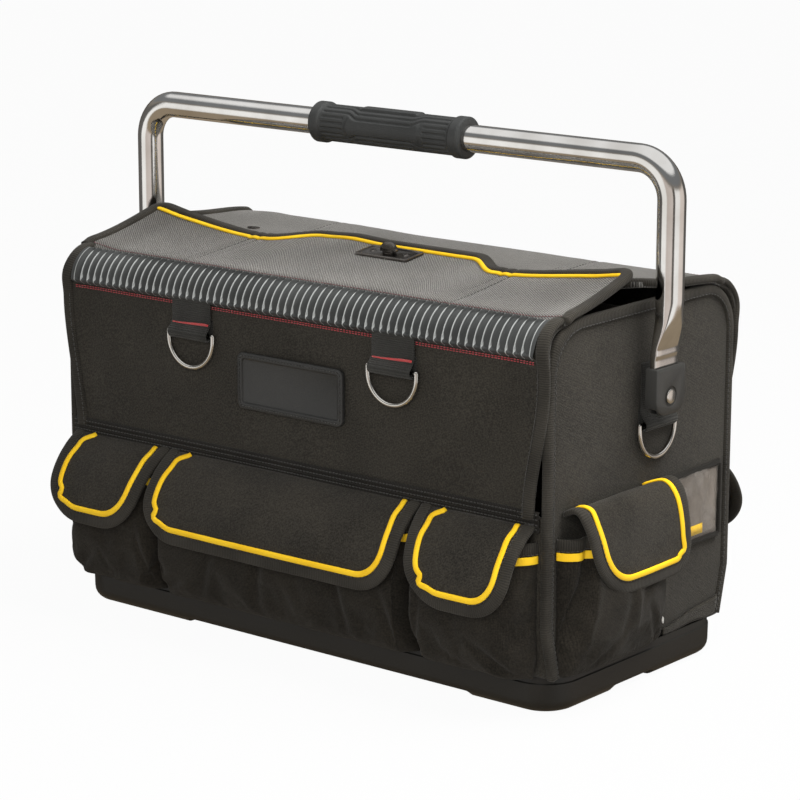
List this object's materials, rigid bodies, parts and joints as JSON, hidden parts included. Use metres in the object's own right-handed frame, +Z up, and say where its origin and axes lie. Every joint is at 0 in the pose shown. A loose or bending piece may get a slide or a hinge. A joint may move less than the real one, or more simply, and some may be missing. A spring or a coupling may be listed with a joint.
{
  "type": "tool bag",
  "caption": "Double-sided fabric tool bag on a moulded tray, with fold-down covers, lids, flapped pockets, D-rings and a swinging tube handle.",
  "frame": {"origin": "middle of the footprint, at the underside of the feet", "axes": "+X along the bag to its right end, +Y from the front to the rear, +Z up"},
  "size_m": [0.564, 0.322, 0.431],
  "materials": {
    "tray_plastic": "fine moulded texture",
    "board_fabric": "coarse woven nylon over board",
    "pocket_fabric": "fine woven polyester",
    "webbing": "ribbed webbing",
    "black_rubber": "satin moulded rubber",
    "chrome_tube": "polished chrome plate",
    "nickel_plate": "dark nickel plate",
    "yellow_piping": "woven yellow piping",
    "card_window": "clear sheet over a card"
  },
  "bodies": {
    "bag": {"base_tray": "tray_plastic", "end_panel_left": "board_fabric", "end_panel_right": "board_fabric", "front_wall": "board_fabric", "rear_wall": "board_fabric", "centre_divider": "board_fabric", "inner_pockets_front": "pocket_fabric", "inner_pockets_rear": "pocket_fabric", "lock_keeper": "nickel_plate", "front_pocket_left": "pocket_fabric", "front_pocket_middle": "pocket_fabric", "front_pocket_right": "pocket_fabric", "rear_pocket_left": "pocket_fabric", "rear_pocket_middle": "pocket_fabric", "rear_pocket_right": "pocket_fabric", "end_pocket_left": "pocket_fabric", "end_pocket_right": "pocket_fabric", "id_window_left": "card_window", "id_window_right": "card_window", "end_ring_tab_left": "webbing", "end_ring_tab_right": "webbing", "pivot_rivets": "nickel_plate"},
    "handle": {"handle_tube": "chrome_tube", "handle_grip": "black_rubber", "handle_cap_left": "black_rubber", "handle_cap_right": "black_rubber"},
    "front_cover": {"front_cover_panel": "board_fabric", "front_bumper": "black_rubber", "front_ring_tab_left": "webbing", "front_ring_tab_right": "webbing", "front_badge": "black_rubber"},
    "front_lid": {"front_lid_panel": "board_fabric", "front_lid_piping": "yellow_piping", "lock_plate": "nickel_plate", "lock_screws": "nickel_plate"},
    "lock_turn_piece": {"lock_knob": "nickel_plate"},
    "rear_cover": {"rear_cover_panel": "board_fabric", "rear_bumper": "black_rubber", "rear_ring_tab_left": "webbing", "rear_ring_tab_right": "webbing"},
    "rear_lid": {"rear_lid_panel": "board_fabric", "press_stud": "nickel_plate"},
    "front_flap_left_body": {"front_flap_left": "pocket_fabric"},
    "front_flap_middle_body": {"front_flap_middle": "pocket_fabric"},
    "front_flap_right_body": {"front_flap_right": "pocket_fabric"},
    "rear_flap_left_body": {"rear_flap_left": "pocket_fabric"},
    "rear_flap_middle_body": {"rear_flap_middle": "pocket_fabric"},
    "rear_flap_right_body": {"rear_flap_right": "pocket_fabric"},
    "end_flap_left_body": {"end_flap_left": "pocket_fabric"},
    "end_flap_right_body": {"end_flap_right": "pocket_fabric"},
    "front_ring_left_body": {"front_ring_left": "nickel_plate"},
    "front_ring_right_body": {"front_ring_right": "nickel_plate"},
    "rear_ring_left_body": {"rear_ring_left": "nickel_plate"},
    "rear_ring_right_body": {"rear_ring_right": "nickel_plate"},
    "end_ring_left_body": {"end_ring_left": "nickel_plate"},
    "end_ring_right_body": {"end_ring_right": "nickel_plate"}
  },
  "joints": [
    {"name": "handle_swing", "type": "hinge", "parent": "bag", "child": "handle", "pos_m": [0, 0, 0.234], "axis": [1, 0, 0], "range_deg": [-85, 85]},
    {"name": "front_cover_fold", "type": "hinge", "parent": "bag", "child": "front_cover", "pos_m": [0, -0.125, 0.16], "axis": [1, 0, 0], "range_deg": [0, 120]},
    {"name": "rear_cover_fold", "type": "hinge", "parent": "bag", "child": "rear_cover", "pos_m": [0, 0.125, 0.16], "axis": [-1, 0, 0], "range_deg": [0, 120]},
    {"name": "front_lid_lift", "type": "hinge", "parent": "front_cover", "child": "front_lid", "pos_m": [0, -0.101, 0.302], "axis": [-1, 0, 0], "range_deg": [-90, 0]},
    {"name": "rear_lid_lift", "type": "hinge", "parent": "rear_cover", "child": "rear_lid", "pos_m": [0, 0.101, 0.302], "axis": [1, 0, 0], "range_deg": [-90, 0]},
    {"name": "lock_turn", "type": "hinge", "parent": "front_lid", "child": "lock_turn_piece", "pos_m": [0.008, -0.01402, 0.31422], "axis": [0, -0.1392, 0.9903], "range_deg": [0, 90]},
    {"name": "front_left_flap_lift", "type": "hinge", "parent": "bag", "child": "front_flap_left_body", "pos_m": [-0.186, -0.125, 0.152], "axis": [1, 0, 0], "range_deg": [-110, 0]},
    {"name": "front_middle_flap_lift", "type": "hinge", "parent": "bag", "child": "front_flap_middle_body", "pos_m": [0, -0.125, 0.152], "axis": [1, 0, 0], "range_deg": [-110, 0]},
    {"name": "front_right_flap_lift", "type": "hinge", "parent": "bag", "child": "front_flap_right_body", "pos_m": [0.186, -0.125, 0.152], "axis": [1, 0, 0], "range_deg": [-110, 0]},
    {"name": "front_left_ring_swing", "type": "hinge", "parent": "front_cover", "child": "front_ring_left_body", "pos_m": [-0.105, -0.1291, 0.253], "axis": [1, 0, 0], "range_deg": [-150, 0]},
    {"name": "front_right_ring_swing", "type": "hinge", "parent": "front_cover", "child": "front_ring_right_body", "pos_m": [0.105, -0.1291, 0.253], "axis": [1, 0, 0], "range_deg": [-150, 0]},
    {"name": "rear_left_flap_lift", "type": "hinge", "parent": "bag", "child": "rear_flap_left_body", "pos_m": [-0.186, 0.125, 0.152], "axis": [-1, 0, 0], "range_deg": [-110, 0]},
    {"name": "rear_middle_flap_lift", "type": "hinge", "parent": "bag", "child": "rear_flap_middle_body", "pos_m": [0, 0.125, 0.152], "axis": [-1, 0, 0], "range_deg": [-110, 0]},
    {"name": "rear_right_flap_lift", "type": "hinge", "parent": "bag", "child": "rear_flap_right_body", "pos_m": [0.186, 0.125, 0.152], "axis": [-1, 0, 0], "range_deg": [-110, 0]},
    {"name": "rear_left_ring_swing", "type": "hinge", "parent": "rear_cover", "child": "rear_ring_left_body", "pos_m": [-0.105, 0.1291, 0.253], "axis": [-1, 0, 0], "range_deg": [-150, 0]},
    {"name": "rear_right_ring_swing", "type": "hinge", "parent": "rear_cover", "child": "rear_ring_right_body", "pos_m": [0.105, 0.1291, 0.253], "axis": [-1, 0, 0], "range_deg": [-150, 0]},
    {"name": "end_left_flap_lift", "type": "hinge", "parent": "bag", "child": "end_flap_left_body", "pos_m": [-0.249, -0.04, 0.159], "axis": [0, -1, 0], "range_deg": [-95, 0]},
    {"name": "end_left_ring_swing", "type": "hinge", "parent": "bag", "child": "end_ring_left_body", "pos_m": [-0.2531, 0, 0.209], "axis": [0, -1, 0], "range_deg": [-80, 0]},
    {"name": "end_right_flap_lift", "type": "hinge", "parent": "bag", "child": "end_flap_right_body", "pos_m": [0.249, -0.04, 0.159], "axis": [0, 1, 0], "range_deg": [-95, 0]},
    {"name": "end_right_ring_swing", "type": "hinge", "parent": "bag", "child": "end_ring_right_body", "pos_m": [0.2531, 0, 0.209], "axis": [0, 1, 0], "range_deg": [-80, 0]}
  ]
}
